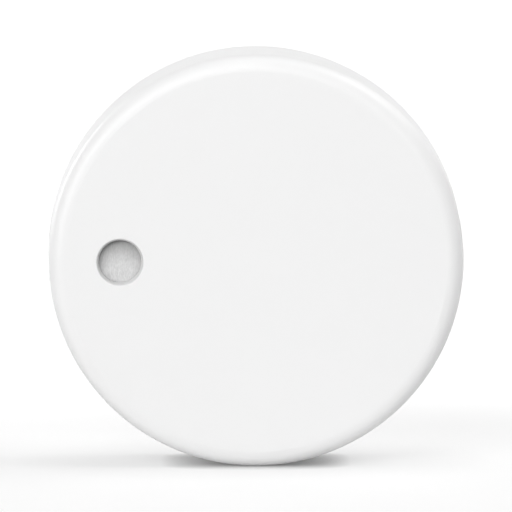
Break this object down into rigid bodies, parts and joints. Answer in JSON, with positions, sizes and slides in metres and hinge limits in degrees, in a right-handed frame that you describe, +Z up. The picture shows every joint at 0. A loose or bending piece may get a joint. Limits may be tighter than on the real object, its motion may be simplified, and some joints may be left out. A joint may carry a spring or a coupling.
{
  "type": "wireless environmental sensor",
  "caption": "Round white puck with a vent hole that senses temperature, humidity and movement by radio; its back cover pulls off to change the coin cell.",
  "frame": {"origin": "on the ground below the middle of the puck, which stands on its rim", "axes": "+X to the right seen from the front, +Y from the front face to the back cover, +Z up"},
  "size_m": [0.052, 0.0126, 0.052],
  "materials": {
    "case_plastic": "satin",
    "membrane": "matte",
    "adhesive": "satin",
    "foam": "matte",
    "silicone": "satin",
    "board": "satin",
    "copper": "satin",
    "chip_epoxy": "matte",
    "sensor_lid": "satin",
    "crystal_lid": "satin",
    "red_lens": "gloss",
    "green_lens": "gloss",
    "capacitor_ceramic": "satin",
    "resistor_ceramic": "satin",
    "holder_plastic": "satin",
    "spring_steel": "satin",
    "cell_steel": "satin",
    "cell_seal": "matte",
    "pellet": "matte",
    "separator_paper": "matte",
    "lithium": "satin",
    "switch_plastic": "satin",
    "switch_steel": "satin",
    "button_plastic": "satin"
  },
  "bodies": {
    "housing": {"front_cover": "case_plastic", "vent_membrane": "membrane", "membrane_adhesive": "adhesive", "sensor_gasket": "foam", "circuit_board": "board", "board_antenna": "copper", "radio_chip": "chip_epoxy", "humidity_sensor": "sensor_lid", "accelerometer": "chip_epoxy", "main_crystal": "crystal_lid", "clock_crystal": "crystal_lid", "red_led": "red_lens", "green_led": "green_lens", "chip_capacitors": "capacitor_ceramic", "chip_resistors": "resistor_ceramic", "bulk_capacitor": "capacitor_ceramic", "battery_holder": "holder_plastic", "positive_contact": "spring_steel", "negative_contact": "spring_steel", "reset_switch_base": "switch_plastic", "reset_switch_shield": "switch_steel", "mode_switch_base": "switch_plastic", "mode_switch_shield": "switch_steel"},
    "back_cover": {"back_cover": "case_plastic", "seal_ring": "silicone", "foam_pad": "foam"},
    "cell": {"cell_can": "cell_steel", "cell_cap": "cell_steel", "cell_gasket": "cell_seal", "cathode_pellet": "pellet", "cell_separator": "separator_paper", "lithium_disc": "lithium"},
    "reset_button": {"reset_button": "button_plastic"},
    "mode_button": {"mode_button": "button_plastic"}
  },
  "joints": [
    {"name": "cover_slide", "type": "slide", "parent": "housing", "child": "back_cover", "axis": [0, 1, 0], "range_m": [0, 0.04]},
    {"name": "cell_slide", "type": "slide", "parent": "housing", "child": "cell", "axis": [0, 1, 0], "range_m": [0, 0.02]},
    {"name": "reset_press", "type": "slide", "parent": "housing", "child": "reset_button", "axis": [0, -1, 0], "range_m": [0, 0.00025], "stiffness_N_per_m": 4000, "springref_m": -0.0001},
    {"name": "mode_press", "type": "slide", "parent": "housing", "child": "mode_button", "axis": [0, -1, 0], "range_m": [0, 0.00025], "stiffness_N_per_m": 4000, "springref_m": -0.0001}
  ],
  "couplings": [
    {"joint": "cell_slide", "follows": "cover_slide", "ratio": 0.5}
  ]
}
